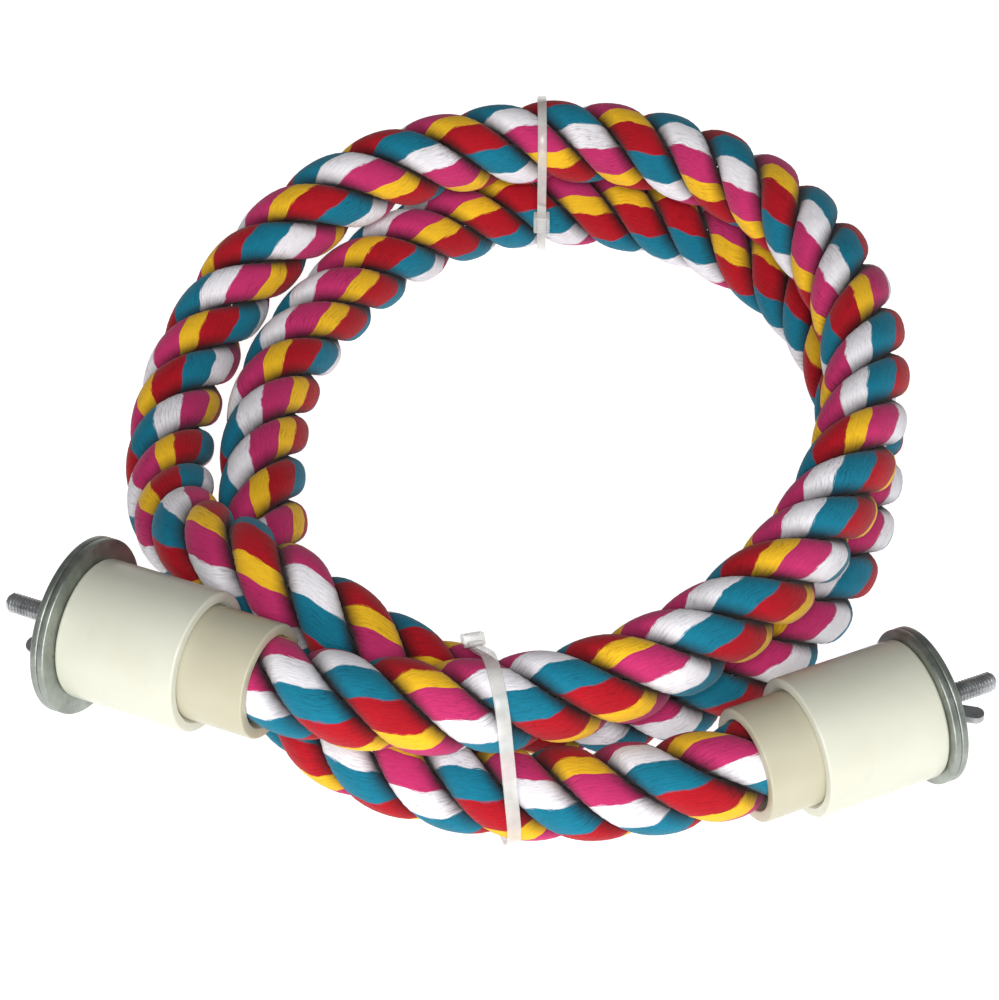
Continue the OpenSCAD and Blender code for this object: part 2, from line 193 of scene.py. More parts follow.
def buildRope():
    rings = int(ropeLength / rope["ringEvery"])
    sides = rope["sides"]
    s = np.linspace(0, ropeLength, rings + 1)
    centre, inward, up = ropeFrames(s)
    low = restHeight(centre)
    edge = [0, rope["into"], rope["into"] + rope["swell"]]
    edge += [ropeLength - e for e in reversed(edge)]
    squeezed = rope["squeezed"]
    swell = np.interp(s, edge, [squeezed, squeezed, 1, 1, squeezed, squeezed])
    points, faces, skinUv, valley = [], [], [], []
    for strand in range(3):
        turn = 2 * math.pi * (strand / 3 + s / rope["layLength"])
        start = len(points)
        for i in range(rings + 1):
            phi = 2 * math.pi * (
                np.arange(sides) / sides + rope["bandStart"][strand]
                - rope["bandTurns"][strand] * s[i] / rope["layLength"])
            reach = strandReach(phi, swell[i])
            out = rope["strandCentre"] * swell[i] + reach * np.cos(phi)
            side = reach * np.sin(phi)
            a = turn[i]
            ring = centre[i] + np.outer(out * math.cos(a) - side * math.sin(a), inward[i])
            ring = ring + np.outer(out * math.sin(a) + side * math.cos(a), up[i])
            ring[:, 2] = np.maximum(ring[:, 2], low[i])
            points.extend(ring.tolist())
            # Each point's distance from the rope's middle, which sets the painted shade in the valleys
            # between strands
            valley.extend((np.hypot(out, side) / (rope["diameter"] / 2)).tolist())
        for i in range(rings):
            for k in range(sides):
                a, b = start + i * sides, start + (i + 1) * sides
                n = (k + 1) % sides
                faces.append((a + k, a + n, b + n, b + k))
                low1, low2 = s[i] / rope["layLength"], s[i + 1] / rope["layLength"]
                skinUv.extend([
                    (k / sides, low1), ((k + 1) / sides, low1), ((k + 1) / sides, low2), (k / sides, low2)])
        faces.append(tuple(start + k for k in reversed(range(sides))))
        skinUv.extend([(k / sides, 0) for k in reversed(range(sides))])
        last = start + rings * sides
        faces.append(tuple(last + k for k in range(sides)))
        skinUv.extend([(k / sides, 0) for k in range(sides)])
    mesh = bpy.data.meshes.new("laidRope")
    mesh.from_pydata(points, [], faces)
    mesh.uv_layers.new(name="yarn").data.foreach_set("uv", np.array(skinUv).ravel())
    mesh.attributes.new("valley", "FLOAT", "POINT").data.foreach_set("value", np.array(valley))
    mesh.polygons.foreach_set("use_smooth", [True] * len(mesh.polygons))
    mesh.update()
    made = bpy.data.objects.new("laidRope", mesh)
    bpy.context.scene.collection.objects.link(made)
    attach(made, "perch")
    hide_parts("rope_strand_1", "rope_strand_2", "rope_strand_3")
    return made


laidRope = buildRope()
print("rope laid:", round(ropeLength, 4), "m long")


# A socket that takes part in sums
class Wire:
    def __init__(self, kit, socket):
        self.kit, self.socket = kit, socket

    def sum(self, operation, first, second):
        made = self.kit.tree.nodes.new("ShaderNodeMath")
        made.operation = operation
        for place, item in enumerate((first, second)):
            self.kit.join(item, made.inputs[place])
        return Wire(self.kit, made.outputs[0])

    def __add__(self, other):
        return self.sum("ADD", self, other)

    def __radd__(self, other):
        return self.sum("ADD", other, self)

    def __sub__(self, other):
        return self.sum("SUBTRACT", self, other)

    def __rsub__(self, other):
        return self.sum("SUBTRACT", other, self)

    def __mul__(self, other):
        return self.sum("MULTIPLY", self, other)

    def __rmul__(self, other):
        return self.sum("MULTIPLY", other, self)

    def __truediv__(self, other):
        return self.sum("DIVIDE", self, other)

    def __rtruediv__(self, other):
        return self.sum("DIVIDE", other, self)

    def __pow__(self, other):
        return self.sum("POWER", self, other)


class Finish:
    def __init__(self, name, constants):
        self.material = bpy.data.materials.new(name)
        self.material.use_nodes = True
        self.tree = self.material.node_tree
        self.shader = self.tree.nodes["Principled BSDF"]
        for socket, value in constants.items():
            self.shader.inputs[socket].default_value = value

    def join(self, item, socket):
        if isinstance(item, Wire):
            self.tree.links.new(item.socket, socket)
        else:
            socket.default_value = item

    def node(self, kind, settings=None, sockets=None, out=0):
        made = self.tree.nodes.new("ShaderNode" + kind)
        for setting, value in (settings or {}).items():
            if setting == "stops":
                for place, (at, colour) in enumerate(value):
                    stop = made.color_ramp.elements[place] if place < 2 else made.color_ramp.elements.new(at)
                    stop.position, stop.color = at, (*colour, 1)
            else:
                setattr(made, setting, value)
        for socket, value in (sockets or {}).items():
            self.join(value, made.inputs[socket])
        return Wire(self, made.outputs[out])

    def paint(self, **wires):
        names = {"colour": "Base Color", "rough": "Roughness", "metal": "Metallic", "normal": "Normal"}
        for word, wire in wires.items():
            self.join(wire, self.shader.inputs[names[word]])

    def place(self):
        return self.node("TexCoord", out="Object")

    def noise(self, scale, vector=None, detail=3, out="Fac"):
        return self.node("TexNoise", None, {
            "Vector": vector or self.place(), "Scale": scale, "Detail": detail, "Roughness": 0.6}, out)

    def mix(self, factor, first, second, blend="MIX"):
        made = self.tree.nodes.new("ShaderNodeMix")
        made.data_type, made.blend_type = "RGBA", blend
        for item, socket in ((factor, 0), (first, 6), (second, 7)):
            if isinstance(item, tuple) and len(item) == 3:
                item = (*item, 1)
            self.join(item, made.inputs[socket])
        return Wire(self, made.outputs[2])

    def within(self, wire, low, high, toLow=0.0, toHigh=1.0):
        return self.node("MapRange", {"clamp": True}, {
            "Value": wire, "From Min": low, "From Max": high, "To Min": toLow, "To Max": toHigh})

    def bump(self, height, strength, depth):
        return self.node("Bump", None, {"Height": height, "Strength": strength, "Distance": depth})


# Dyed cotton: five colours side by side along each strand, with painted shade in the furrows between yarns
# and in the valleys between strands
cotton = {
    "bands": [
        (0.00, (0.49, 0.024, 0.128)), (0.22, (0.78, 0.76, 0.80)), (0.41, (0.002, 0.16, 0.25)),
        (0.63, (0.38, 0.002, 0.010)), (0.86, (0.80, 0.46, 0.015))],
    "bandEdge": 0.004,
    "mingle": 0.05,           # how far the yarns of two bands lie among each other
    "drift": 0.012,
    "streaks": (38, 5),       # round one strand, and in one lay length
    "strays": (13, 3),
    "yarns": 34,              # side by side round one strand
    "wander": 3.2,            # how far a yarn strays, in yarns
    "looseYarnShade": 0.55,        # how dark the painted shade in the furrows beside a loose yarn is
    # the colour of the painted shade multiplied into those furrows
    "furrowPaintedShade": (0.30, 0.26, 0.28),
    # painted shade, near black, for the valleys between strands
    "valleyPaintedShade": (0.012, 0.003, 0.004),
    "valley": (0.64, 0.93),   # where the painted valley shade goes from full dark to none, in shares of the rope's radius
    "rough": (0.72, 0.95),
    "relief": 0.0006,
}


def cottonFinish():
    kit = Finish("dyedCottonWithPaintedShade", {"Sheen Weight": 0.08, "Sheen Roughness": 0.5, "Specular IOR Level": 0.2})
    uv = kit.node("UVMap", {"uv_map": "yarn"})
    u = kit.node("SeparateXYZ", None, {"Vector": uv}, 0)
    v = kit.node("SeparateXYZ", None, {"Vector": uv}, 1)
    streaks, strays = (
        kit.noise(scale, kit.node("CombineXYZ", None, {"X": u * about, "Y": v * on, "Z": 0.0}), detail)
        for scale, detail, (about, on) in ((3.2, 4, cotton["streaks"]), (2.4, 3, cotton["strays"])))
    yarns = kit.node("Math", {"operation": "SINE"}, {
        0: (u * cotton["yarns"] + strays * cotton["wander"]) * (2 * math.pi)})
    drift = kit.noise(160, None, 3)
    shifted = u + (streaks - 0.5) * cotton["mingle"] + (drift - 0.5) * cotton["drift"]
    stops, edge = [], cotton["bandEdge"]
    for place, (at, colour) in enumerate(cotton["bands"]):
        if place:
            stops.append((at - edge, cotton["bands"][place - 1][1]))
        stops.append((at + edge if place else 0.0, colour))
    bands = kit.node("ValToRGB", {"stops": stops}, {"Fac": shifted})
    # Lighter and darker yarns, then painted shade in the furrows between loose ones, then painted shade in
    # the valleys between strands
    patch = kit.within(kit.noise(55, None, 2), 0.3, 0.7, 0.9, 1.06)
    shade = kit.within(streaks, 0.25, 0.75, 0.78, 1.08) * patch
    dyedAndShaded = kit.mix(
        1.0, bands, kit.node("CombineColor", None, {"Red": shade, "Green": shade, "Blue": shade}), "MULTIPLY")
    # Painted shade in the furrows beside loose yarns
    loose = kit.within(kit.noise(95, None, 3), 0.45, 0.68, 0.04, cotton["looseYarnShade"])
    furrowShadeMask = kit.within(yarns, -1.0, -0.55, 1.0, 0.0) * loose
    dyedAndShaded = kit.mix(furrowShadeMask, dyedAndShaded, kit.mix(1.0, dyedAndShaded, cotton["furrowPaintedShade"], "MULTIPLY"))
    # Painted shade in the valleys between strands, darkest where a point lies deepest
    deep = kit.node("Attribute", {"attribute_name": "valley"}, None, "Fac")
    dyedAndShaded = kit.mix(kit.within(deep, *cotton["valley"], 0.95, 0.0), dyedAndShaded, cotton["valleyPaintedShade"])
    fuzz = kit.noise(900, None, 4)
    height = yarns * 0.07 + streaks * 0.6 + fuzz * 0.4
    kit.paint(
        colour=dyedAndShaded, rough=kit.within(fuzz, 0.2, 0.8, *cotton["rough"]),
        normal=kit.bump(height, 0.55, cotton["relief"]))
    return kit.material


laidRope.data.materials.append(cottonFinish())
print("cotton dyed")

# Cream plastic: the moulded cap is paler than the cut pipe, and both are a little dusty
plastic = {
    # dull, clean and dusty places
    "cap": ((0.515, 0.515, 0.425), (0.56, 0.565, 0.478), (0.445, 0.43, 0.342)),
    "pipe": ((0.41, 0.385, 0.275), (0.445, 0.425, 0.325), (0.34, 0.315, 0.22)),
    "rough": (0.30, 0.42),
    "dust": 0.35,
}


def plasticFinish(kind):
    kit = Finish(kind + "Plastic", {"Specular IOR Level": 0.5})
    dull, clean, dusty = plastic[kind]
    colour = kit.mix(kit.within(kit.noise(35, None, 3), 0.3, 0.7), dull, clean)
    dust = kit.within(kit.noise(120, None, 5), 0.62, 0.8, 0.0, plastic["dust"])
    fine = kit.noise(420, None, 4)
    kit.paint(
        colour=kit.mix(dust, colour, dusty), rough=kit.within(fine, 0.3, 0.7, *plastic["rough"]),
        normal=kit.bump(fine, 0.12, 0.0002))
    return kit.material


# Zinc plate and steel: dull and bright places, ringed by the turning of the die
zinc = {
    # dull, bright, rings in a metre, roughness
    "washerZinc": ((0.22, 0.243, 0.22), (0.39, 0.42, 0.38), 4200, (0.34, 0.54)),
    "studZinc": ((0.34, 0.35, 0.36), (0.66, 0.67, 0.68), 900, (0.2, 0.36)),
    "nutZinc": ((0.30, 0.31, 0.32), (0.50, 0.51, 0.52), 900, (0.27, 0.5)),
    "coreSteel": ((0.22, 0.22, 0.23), (0.36, 0.36, 0.37), 900, (0.27, 0.5)),
    "spangle": 0.55,
}


def zincFinish(name):
    kit = Finish(name, {"Metallic": 0.92})
    dull, bright, rings, rough = zinc[name]
    turned = kit.node("Attribute", {"attribute_name": "shopPlace"}, None, "Vector")
    x = kit.node("SeparateXYZ", None, {"Vector": turned}, 0)
    y = kit.node("SeparateXYZ", None, {"Vector": turned}, 1)
    radius = (x * x + y * y) ** 0.5
    ringed = kit.noise(1.0, kit.node("CombineXYZ", None, {"X": radius * rings, "Y": 0.0, "Z": 0.0}), 3)
    cloud = kit.noise(95, None, 4)
    spangle = kit.noise(420, None, 3)
    colour = kit.mix(kit.within(cloud, 0.35, 0.68), dull, bright)
    dark = tuple(zinc["spangle"] * c for c in dull)
    kit.paint(
        colour=kit.mix(kit.within(spangle, 0.6, 0.75, 0.0, 0.5), colour, dark),
        rough=kit.within(cloud * 0.5 + ringed * 0.5, 0.3, 0.7, *rough),
        normal=kit.bump(ringed * 0.6 + spangle * 0.4, 0.18, 0.0002))
    return kit.material


# Natural nylon, half clear
nylon = {"alpha": 0.42, "dull": (0.66, 0.65, 0.62), "clean": (0.78, 0.77, 0.74), "rough": (0.16, 0.27)}


def nylonFinish():
    kit = Finish("clearNylon", {"Alpha": nylon["alpha"], "Specular IOR Level": 0.5})
    cloud = kit.noise(260, None, 2)
    kit.paint(
        colour=kit.mix(kit.within(cloud, 0.3, 0.7), nylon["dull"], nylon["clean"]),
        rough=kit.within(cloud, 0.3, 0.7, *nylon["rough"]), normal=kit.bump(cloud, 0.1, 0.0001))
    return kit.material


capPlastic, pipePlastic = plasticFinish("cap"), plasticFinish("pipe")
washerZinc, studZinc, nutZinc, coreSteel = (
    zincFinish(name) for name in ("washerZinc", "studZinc", "nutZinc", "coreSteel"))
clearNylon = nylonFinish()
print("finishes mixed")


# Workshop helpers: a piece is made upright at the origin, then set in its place
def deselectAll():
    if bpy.context.object and bpy.context.object.mode != "OBJECT":
        bpy.ops.object.mode_set(mode="OBJECT")
    bpy.ops.object.select_all(action="DESELECT")


def chooseOnly(piece):
    deselectAll()
    piece.select_set(True)
    bpy.context.view_layer.objects.active = piece


def settle(piece, matrix):
    # Moves the piece and leaves its object at the origin, unturned and unscaled
    piece.matrix_world = matrix
    chooseOnly(piece)
    bpy.ops.object.transform_apply(location=True, rotation=True, scale=True)


def lathe(name, profile, solid=False, sides=128):
    # profile is a list of (radius, height); a ring closes on itself, a solid keeps its two discs
    deselectAll()
    radius, height = profile[0]
    bpy.ops.mesh.primitive_circle_add(
        vertices=sides, radius=radius, location=(0, 0, 0), fill_type="NGON" if solid else "NOTHING")
    made = bpy.context.object
    made.name = made.data.name = name
    bpy.ops.object.mode_set(mode="EDIT")
    bpy.ops.mesh.select_all(action="SELECT")
    bpy.ops.transform.translate(value=(0, 0, height))
    for nextRadius, nextHeight in profile[1:] + ([] if solid else [profile[0]]):
        bpy.ops.mesh.extrude_region_move(TRANSFORM_OT_translate={"value": (0, 0, nextHeight - height)})
        grow = nextRadius / radius
        bpy.ops.transform.resize(value=(grow, grow, 1), center_override=(0, 0, nextHeight))
        radius, height = nextRadius, nextHeight
    bpy.ops.mesh.select_all(action="SELECT")
    bpy.ops.mesh.remove_doubles(threshold=1e-6)
    bpy.ops.mesh.normals_make_consistent(inside=False)
    bpy.ops.object.mode_set(mode="OBJECT")
    return made


def bevelEdges(piece, width, segments=3, angle=30):
    edge = piece.modifiers.new("edge", "BEVEL")
    edge.width, edge.segments, edge.limit_method = width, segments, "ANGLE"
    edge.angle_limit = math.radians(angle)
    applyModifiers(piece)


def applyModifiers(piece):
    chooseOnly(piece)
    for modifier in list(piece.modifiers):
        bpy.ops.object.modifier_apply(modifier=modifier.name)


def joinPieces(pieces, name):
    deselectAll()
    for piece in pieces:
        piece.select_set(True)
    bpy.context.view_layer.objects.active = pieces[0]
    bpy.ops.object.join()
    pieces[0].name = pieces[0].data.name = name
    return pieces[0]


def setInPlace(piece, matrix, finish, body, slotName, *nodes):
    chooseOnly(piece)
    bpy.ops.object.shade_smooth_by_angle(angle=math.radians(35))
    mesh = piece.data
    places = np.empty(len(mesh.vertices) * 3)
    mesh.vertices.foreach_get("co", places)
    mesh.attributes.new("shopPlace", "FLOAT_VECTOR", "POINT").data.foreach_set("vector", places)
    settle(piece, matrix)
    mesh.materials.clear()
    mesh.materials.append(finish)
    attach(piece, body)
    if nodes:
        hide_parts(*nodes)
    return piece


def endMatrix(mouth, way):
    azimuth, pitch = (math.radians(a) for a in way)
    return (
        Matrix.Translation(mouth) @ Matrix.Rotation(azimuth, 4, "Z")
        @ Matrix.Rotation(math.pi / 2 - pitch, 4, "Y"))


ends = {
    "left": {
        "matrix": endMatrix(rope["leftMouth"], rope["leftWay"]), "sleeveOut": 0.020, "washer": 0.026,
        "boltOut": 0.024, "nutAngle": 75},
    "right": {
        "matrix": endMatrix(rope["rightMouth"], rope["rightWay"]), "sleeveOut": 0.016, "washer": 0.023,
        "boltOut": 0.022, "nutAngle": 80},
}

# Sleeve: a cut piece of pipe, its edges broken with a knife
sleeve = {"outer": 0.0167, "bore": 0.0133, "inCap": 0.024, "edge": 0.0005}


def buildSleeve(side):
    end = ends[side]
    long = end["sleeveOut"] + sleeve["inCap"]
    made = lathe(side + "PipeSleeve", [
        (sleeve["bore"], 0), (sleeve["outer"], 0), (sleeve["outer"], long), (sleeve["bore"], long)])
    bevelEdges(made, sleeve["edge"], 3)
    setInPlace(made, end["matrix"], pipePlastic, "perch", "cream_plastic", side + "_pipe_sleeve")


# Cap: a moulded slip cap with a flat lip, a rounded shoulder and a hole for the stud
cap = {
    "outer": 0.0205, "socket": 0.0168, "long": 0.038, "wall": 0.005, "hole": 0.0032,
    "shoulder": 0.0012, "shoulderSteps": 6, "lip": 0.0007, "lipSteps": 4, "bevel": 0.0009,
}


def buildCap(side):
    end = ends[side]
    foot, top = end["sleeveOut"], end["sleeveOut"] + cap["long"]
    profile = [(cap["socket"] + cap["bevel"], foot), (cap["outer"] - cap["lip"], foot)]
    for step in range(1, cap["lipSteps"] + 1):
        turn = math.radians(90 * step / cap["lipSteps"])
        profile.append((
            cap["outer"] - cap["lip"] * (1 - math.sin(turn)), foot + cap["lip"] * (1 - math.cos(turn))))
    for step in range(cap["shoulderSteps"] + 1):
        turn = math.radians(90 * step / cap["shoulderSteps"])
        profile.append((
            cap["outer"] - cap["shoulder"] * (1 - math.cos(turn)),
            top - cap["shoulder"] * (1 - math.sin(turn))))
    profile += [
        (cap["hole"], top), (cap["hole"], top - cap["wall"]), (cap["socket"], top - cap["wall"]),
        (cap["socket"], foot + cap["bevel"])]
    made = lathe(side + "EndCap", profile)
    setInPlace(made, end["matrix"], capPlastic, "perch", "cream_plastic", side + "_end_cap")


# Washers: two wide stamped washers at each end
washer = {"thick": 0.0022, "hole": 0.0032, "edge": 0.0005}


def buildWasher(side, place):
    end = ends[side]
    foot = end["sleeveOut"] + cap["long"] + washer["thick"] * place
    name = side + ("Inner", "Outer")[place] + "Washer"
    made = lathe(name, [
        (washer["hole"], foot), (end["washer"], foot),
        (end["washer"], foot + washer["thick"]), (washer["hole"], foot + washer["thick"])])
    bevelEdges(made, washer["edge"], 4)
    body = "perch" if place == 0 else side + "_clamp"
    node = side + ("_inner_washer", "_outer_washer")[place]
    setInPlace(made, end["matrix"], washerZinc, body, "zinc_washer", node)


# Stud: a hexagon bolt from inside the cap, with a rolled thread of one millimetre pitch
stud = {
    "root": 0.00245, "crest": 0.00297, "pitch": 0.001, "chamfer": 0.0013, "runOut": 0.0003,
    "headAcross": 0.010, "headHigh": 0.004, "headEdge": 0.0004, "plain": 0.001, "inHead": 0.001,
    "buried": 0.0002,          # how far a tooth reaches under the root
    "flat": (0.44, 0.56),      # where its crest begins and ends, in pitches
    "foot": 0.99,              # how much of a pitch its foot takes
    "sides": 32,
}


def buildStud(side):
    end = ends[side]
    seat = end["sleeveOut"] + cap["long"] - cap["wall"]
    tip = end["sleeveOut"] + cap["long"] + 2 * washer["thick"] + end["boltOut"]
    shank = lathe(side + "Shank", [
        (stud["root"], seat - stud["inHead"]), (stud["root"], tip - stud["chamfer"] / 2),
        (stud["root"] - stud["chamfer"] / 6, tip - stud["chamfer"] / 4),
        (stud["root"] - stud["chamfer"] / 2, tip)], solid=True, sides=48)
    turns = int((tip - seat - stud["plain"] - stud["runOut"]) / stud["pitch"])
    first = tip - stud["runOut"] - turns * stud["pitch"]
    deselectAll()
    bpy.ops.mesh.primitive_circle_add(vertices=4, radius=1, fill_type="NOTHING")
    tooth = bpy.context.object
    low = stud["root"] - stud["buried"]
    shape = [(low, 0), (stud["crest"], stud["flat"][0]), (stud["crest"], stud["flat"][1]), (low, 1)]
    for corner, (out, rise) in zip(tooth.data.vertices, shape):
        corner.co = (out, 0, first + rise * stud["pitch"] * stud["foot"])
    screw = tooth.modifiers.new("thread", "SCREW")
    screw.axis, screw.screw_offset = "Z", stud["pitch"]
    screw.iterations = turns - 1
    screw.steps = screw.render_steps = stud["sides"]
    screw.use_smooth_shade = False
    applyModifiers(tooth)
    # The crests run down to the root towards the tip
    for corner in tooth.data.vertices:
        share = (tip - corner.co.z) / stud["chamfer"]
        if share < 1:
            across = math.hypot(corner.co.x, corner.co.y)
            corner.co.x *= (low + (across - low) * share) / across
            corner.co.y *= (low + (across - low) * share) / across
    bpy.ops.object.mode_set(mode="EDIT")
    bpy.ops.mesh.select_all(action="SELECT")
    bpy.ops.mesh.remove_doubles(threshold=1e-7)
    bpy.ops.mesh.fill_holes(sides=4)
    bpy.ops.mesh.select_all(action="SELECT")
    bpy.ops.mesh.normals_make_consistent(inside=False)
    bpy.ops.object.mode_set(mode="OBJECT")
    deselectAll()
    bpy.ops.mesh.primitive_cylinder_add(
        vertices=6, radius=stud["headAcross"] / 2 / math.cos(math.pi / 6), depth=stud["headHigh"],
        location=(0, 0, seat - stud["headHigh"] / 2))
    head = bpy.context.object
    bpy.ops.object.transform_apply(location=True, rotation=True, scale=True)
    bevelEdges(head, stud["headEdge"], 2)
    made = joinPieces([shank, tooth, head], side + "Stud")
    setInPlace(made, end["matrix"], studZinc, "perch", "zinc_bolt", side + "_bolt")


# Wing nut: a tapered hub on a flat foot with two swept wings
wingNut = {
    "foot": 0.0063, "footHigh": 0.0015, "shoulder": 0.00555, "top": 0.0048, "high": 0.007, "bore": 0.00305,
    "wingThick": 0.002, "tipRound": 0.0025, "tipAt": (0.0105, 0.0095), "rootAt": (0.00605, 0.00415),
    "stemRound": 0.00075, "stemAt": ((0.003, 0.0021), (0.003, 0.0055)),
    "hubEdge": 0.0003, "wingEdge": 0.00055, "sides": 32,
    "clear": 0.00003,  # between its foot and the washer, a film of oil
}


def hullOf(name, rounds, thick):
    # The skin round several short upright pins, laid over so that it stands in the XZ plane
    deselectAll()
    (x, z), radius = rounds[0]
    pin = {"vertices": wingNut["sides"], "depth": thick}
    bpy.ops.mesh.primitive_cylinder_add(radius=radius, location=(0, 0, 0), **pin)
    made = bpy.context.object
    made.name = name
    bpy.ops.object.mode_set(mode="EDIT")
    bpy.ops.transform.translate(value=(x, z, 0))
    for (x, z), radius in rounds[1:]:
        bpy.ops.mesh.primitive_cylinder_add(radius=radius, location=(x, z, 0), **pin)
    bpy.ops.mesh.select_all(action="SELECT")
    bpy.ops.mesh.convex_hull()
    bpy.ops.object.mode_set(mode="OBJECT")
    made.matrix_world = Matrix.Rotation(math.pi / 2, 4, "X")
    bpy.ops.object.transform_apply(location=True, rotation=True, scale=True)
    return made


def buildWingNut(side):
    end = ends[side]
    hub = lathe(side + "Hub", [
        (wingNut["bore"], 0), (wingNut["foot"], 0), (wingNut["foot"], wingNut["footHigh"]),
        (wingNut["shoulder"], wingNut["footHigh"]), (wingNut["top"], wingNut["high"]),
        (wingNut["bore"], wingNut["high"])], sides=64)
    bevelEdges(hub, wingNut["hubEdge"], 3)
    parts = [hub]
    for flip in (0, 1):
        outer, root = ((wingNut[at], wingNut["tipRound"]) for at in ("tipAt", "rootAt"))
        stems = [(at, wingNut["stemRound"]) for at in wingNut["stemAt"]]
        lobe = hullOf("lobe", [outer, root], wingNut["wingThick"])
        stem = hullOf("stem", [root] + stems, wingNut["wingThick"])
        for part in (lobe, stem):
            bevelEdges(part, wingNut["wingEdge"], 4, 50)
            settle(part, Matrix.Rotation(math.pi * flip, 4, "Z"))
            parts.append(part)
    made = joinPieces(parts, side + "WingNut")
    foot = end["sleeveOut"] + cap["long"] + 2 * washer["thick"] + wingNut["clear"]
    turned = Matrix.Rotation(math.radians(end["nutAngle"]), 4, "Z")
    matrix = end["matrix"] @ Matrix.Translation((0, 0, foot)) @ turned
    setInPlace(made, matrix, nutZinc, side + "_nut", "zinc_nut", side + "_wing_nut")


for side in ends:
    buildSleeve(side)
    buildCap(side)
    buildWasher(side, 0)
    buildWasher(side, 1)
    buildStud(side)
    buildWingNut(side)
    print(side, "fitting assembled")


# Ties: a flat nylon strap round some turns, a locking head and a cut tail
ties = {
    "top": {"at": rope["topTie"], "turns": ((0.70, 0.77), (0.26, 0.32)), "wide": 0.003, "headShare": 0.25},
    "bottom": {
        "at": rope["bottomTie"], "turns": ((0.48, 0.54), (0.03, 0.10), (0.90, 0.97)), "wide": 0.004,
        "headShare": 0.15},
}
strap = {
    "thick": 0.0011, "gap": 0.0004, "headLong": 0.0065, "headHigh": 0.0034, "headSide": 0.0012,
    "tail": 0.004, "points": 160, "edge": 0.0003, "headEdge": 0.00045, "tailEdge": 0.0002, "cut": 0.0008,
    "windowWall": 0.0011, "windowDeep": 0.0009,
    "search": 400,   # places tried along a turn
    "probe": 0.003,  # to either side of a place, for the rope's direction there
    "around": 72,    # points round each turn
}


def hullOutline(points):
    points = sorted(map(tuple, points))
    halves = []
    for order in (points, points[::-1]):
        half = []
        for p in order:
            while len(half) > 1 and (
                    (half[-1][0] - half[-2][0]) * (p[1] - half[-2][1])
                    - (half[-1][1] - half[-2][1]) * (p[0] - half[-2][0])) <= 0:
                half.pop()
            half.append(p)
        halves += half[:-1]
    loop = np.array(halves + [halves[0]])
    reach = np.concatenate([[0], np.cumsum(np.linalg.norm(np.diff(loop, axis=0), axis=1))])
    even = np.linspace(0, reach[-1], strap["points"] + 1)[:-1]
    return np.stack([np.interp(even, reach, loop[:, k]) for k in (0, 1)], -1)


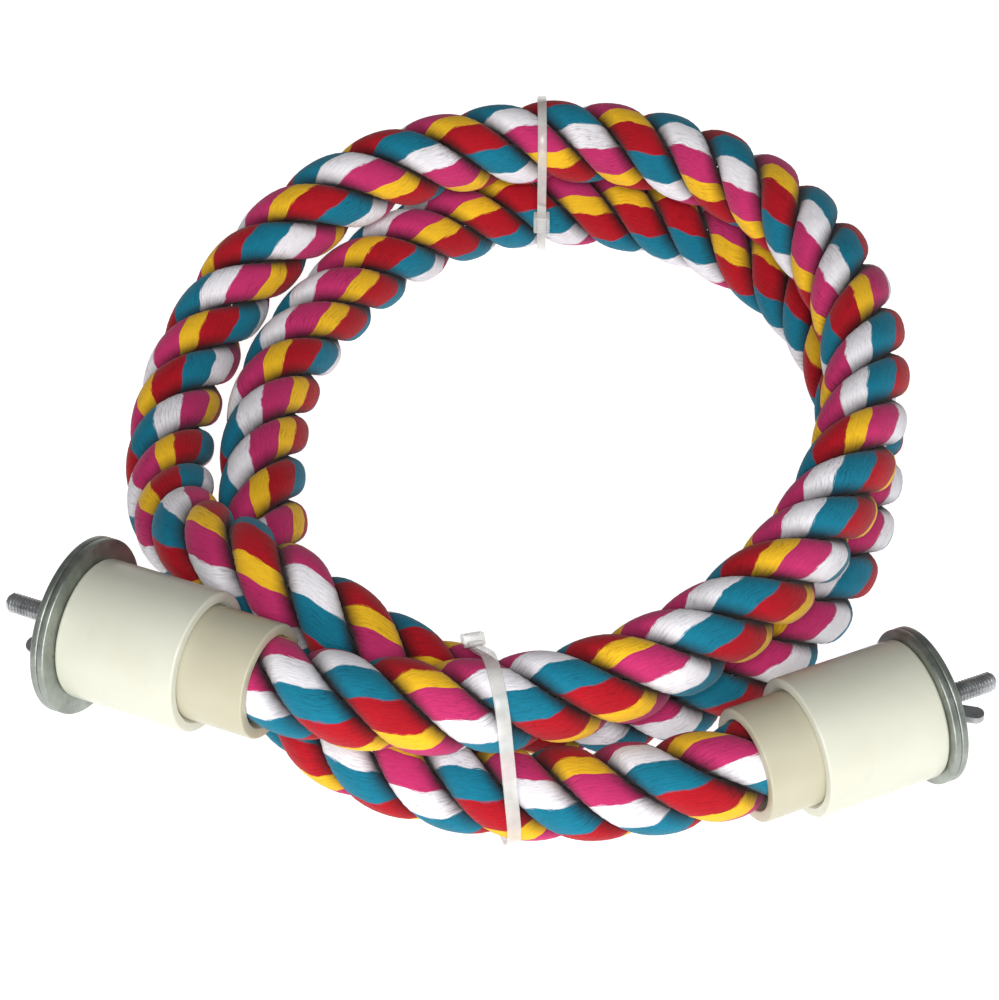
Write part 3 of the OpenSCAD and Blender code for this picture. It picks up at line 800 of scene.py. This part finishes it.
def buildTie(name):
    tie = ties[name]
    x, y, heading = tie["at"]
    heading = math.radians(heading)
    normal = np.array([math.cos(heading), math.sin(heading), 0])
    across = np.array([math.sin(heading), -math.cos(heading), 0])
    turns = []
    for share in tie["turns"]:
        s = np.linspace(share[0] * ropeLength, share[1] * ropeLength, strap["search"])
        off = (along(s) - np.array([x, y, 0])) @ normal
        s = s[np.argmin(np.abs(off))]
        way = unitRows(along(s + strap["probe"]) - along(s - strap["probe"]))
        spot = along(s) - np.array([x, y, 0])
        turns.append((spot @ across, spot[2], 1 / abs(way @ normal), 1 / math.hypot(way[0], way[1])))
    inner = rope["diameter"] / 2 + strap["gap"]
    around = np.linspace(0, 2 * math.pi, strap["around"] + 1)[:-1]
    cloud = []
    for sideways, high, wide, tall in turns:
        cloud += list(zip(sideways + inner * wide * np.cos(around), high + inner * tall * np.sin(around)))
    cloud = [(a, max(b, strap["thick"])) for a, b in cloud]
    path = hullOutline(cloud)
    deselectAll()
    bpy.ops.mesh.primitive_circle_add(vertices=len(path), radius=rope["diameter"], fill_type="NOTHING")
    band = bpy.context.object
    for corner, (a, b) in zip(band.data.vertices, path):
        corner.co = (a, b, -tie["wide"] / 2)
    bpy.ops.object.mode_set(mode="EDIT")
    bpy.ops.mesh.select_all(action="SELECT")
    bpy.ops.mesh.extrude_region_move(TRANSFORM_OT_translate={"value": (0, 0, tie["wide"])})
    bpy.ops.mesh.select_all(action="SELECT")
    bpy.ops.mesh.normals_make_consistent(inside=False)
    bpy.ops.object.mode_set(mode="OBJECT")
    thick = band.modifiers.new("thick", "SOLIDIFY")
    thick.thickness, thick.offset, thick.use_even_offset = strap["thick"], 1, True
    edge = band.modifiers.new("edge", "BEVEL")
    edge.width, edge.segments, edge.limit_method = strap["edge"], 2, "ANGLE"
    edge.angle_limit = math.radians(40)
    applyModifiers(band)
    # Locking head, with its window, and the cut tail that stands out of it
    lean = math.atan2(turns[1][1] - turns[0][1], turns[1][0] - turns[0][0])
    share = tie["headShare"]
    seat = [turns[0][k] + share * (turns[1][k] - turns[0][k]) for k in range(3)]
    lift = inner * (1 + (seat[2] - 1) * abs(math.sin(lean))) + strap["thick"] / 2
    high = strap["thick"] / 2 + strap["headHigh"]
    deselectAll()
    bpy.ops.mesh.primitive_cube_add(size=1, location=(0, 0, 0))
    head = bpy.context.object
    head.scale = (strap["headLong"], high, tie["wide"] + 2 * strap["headSide"])
    bpy.ops.object.transform_apply(location=True, rotation=True, scale=True)
    bpy.ops.object.mode_set(mode="EDIT")
    bpy.ops.mesh.select_all(action="DESELECT")
    bpy.ops.object.mode_set(mode="OBJECT")
    for face in head.data.polygons:
        face.select = face.normal.y > 0.9
    bpy.ops.object.mode_set(mode="EDIT")
    bpy.ops.mesh.inset(thickness=strap["windowWall"])
    bpy.ops.mesh.extrude_region_move(TRANSFORM_OT_translate={"value": (0, -strap["windowDeep"], 0)})
    bpy.ops.object.mode_set(mode="OBJECT")
    bevelEdges(head, strap["headEdge"], 4)
    deselectAll()
    bpy.ops.mesh.primitive_cube_add(size=1, location=(0, 0, 0))
    tail = bpy.context.object
    long = strap["headLong"] / 2 + strap["tail"]
    tail.scale = (long, strap["thick"], tie["wide"])
    tail.location = (long / 2, 0, 0)
    bpy.ops.object.transform_apply(location=True, rotation=True, scale=True)
    for corner in tail.data.vertices:
        if corner.co.x > long / 2 and corner.co.z > 0:
            corner.co.x -= strap["cut"]
    bevelEdges(tail, strap["tailEdge"], 2)
    turn = Matrix.Translation((seat[0], seat[1], 0)) @ Matrix.Rotation(lean, 4, "Z")
    settle(head, turn @ Matrix.Translation((0, lift + high / 2, 0)))
    settle(tail, turn @ Matrix.Translation((0, lift + strap["thick"], 0)))
    made = joinPieces([band, head, tail], name + "Tie")
    matrix = (
        Matrix.Translation((x, y, 0)) @ Matrix.Rotation(heading - math.pi / 2, 4, "Z")
        @ Matrix.Rotation(math.pi / 2, 4, "X"))
    return setInPlace(made, matrix, clearNylon, "perch", "clear_nylon", name + "_tie")


tiePieces = [buildTie(name) for name in ties]
print("ties closed")

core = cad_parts["core_wire"]
core.data.materials.clear()
core.data.materials.append(coreSteel)


# Studio: a pale floor and soft light, low from the front
studio = {
    "floor": 30.0,
    "floorGlow": 0.86,
    "lamps": [
        # name, place, size, watts, colour
        ("frontSoft", (-0.1, -1.5, 0.30), 0.8, 14, (1.0, 0.99, 0.97)),
        ("rightSoft", (1.3, -0.5, 0.6), 0.8, 1.5, (0.97, 0.98, 1.0)),
        ("highSoft", (0, -1.0, 1.2), 0.6, 18, (1.0, 1.0, 1.0)),
    ],
    "sky": 0.16,
}


def buildStudio():
    deselectAll()
    bpy.ops.mesh.primitive_plane_add(size=studio["floor"], location=(0, 0, 0))
    floor = bpy.context.object
    floor.name = "paleFloor"
    kit = Finish("paleFloor", {"Roughness": 0.9, "Specular IOR Level": 0.1, "Base Color": (0.5, 0.5, 0.5, 1)})
    kit.shader.inputs["Emission Color"].default_value = (1, 1, 1, 1)
    kit.shader.inputs["Emission Strength"].default_value = studio["floorGlow"]
    floor.data.materials.append(kit.material)
    for name, place, size, watts, colour in studio["lamps"]:
        data = bpy.data.lights.new(name, "AREA")
        data.shape, data.size, data.energy, data.color = "DISK", size, watts, colour
        lamp = bpy.data.objects.new(name, data)
        lamp.location = place
        lamp.rotation_euler = (Vector(place) - Vector(camera["target"])).to_track_quat("Z", "Y").to_euler()
        bpy.context.scene.collection.objects.link(lamp)
    world = bpy.data.worlds.new("paleSky")
    world.use_nodes = True
    sky = world.node_tree.nodes["Background"]
    sky.inputs["Color"].default_value = (1, 1, 1, 1)
    sky.inputs["Strength"].default_value = studio["sky"]
    bpy.context.scene.world = world
    bpy.context.scene.view_settings.view_transform = "Standard"


buildStudio()
print("studio lit")
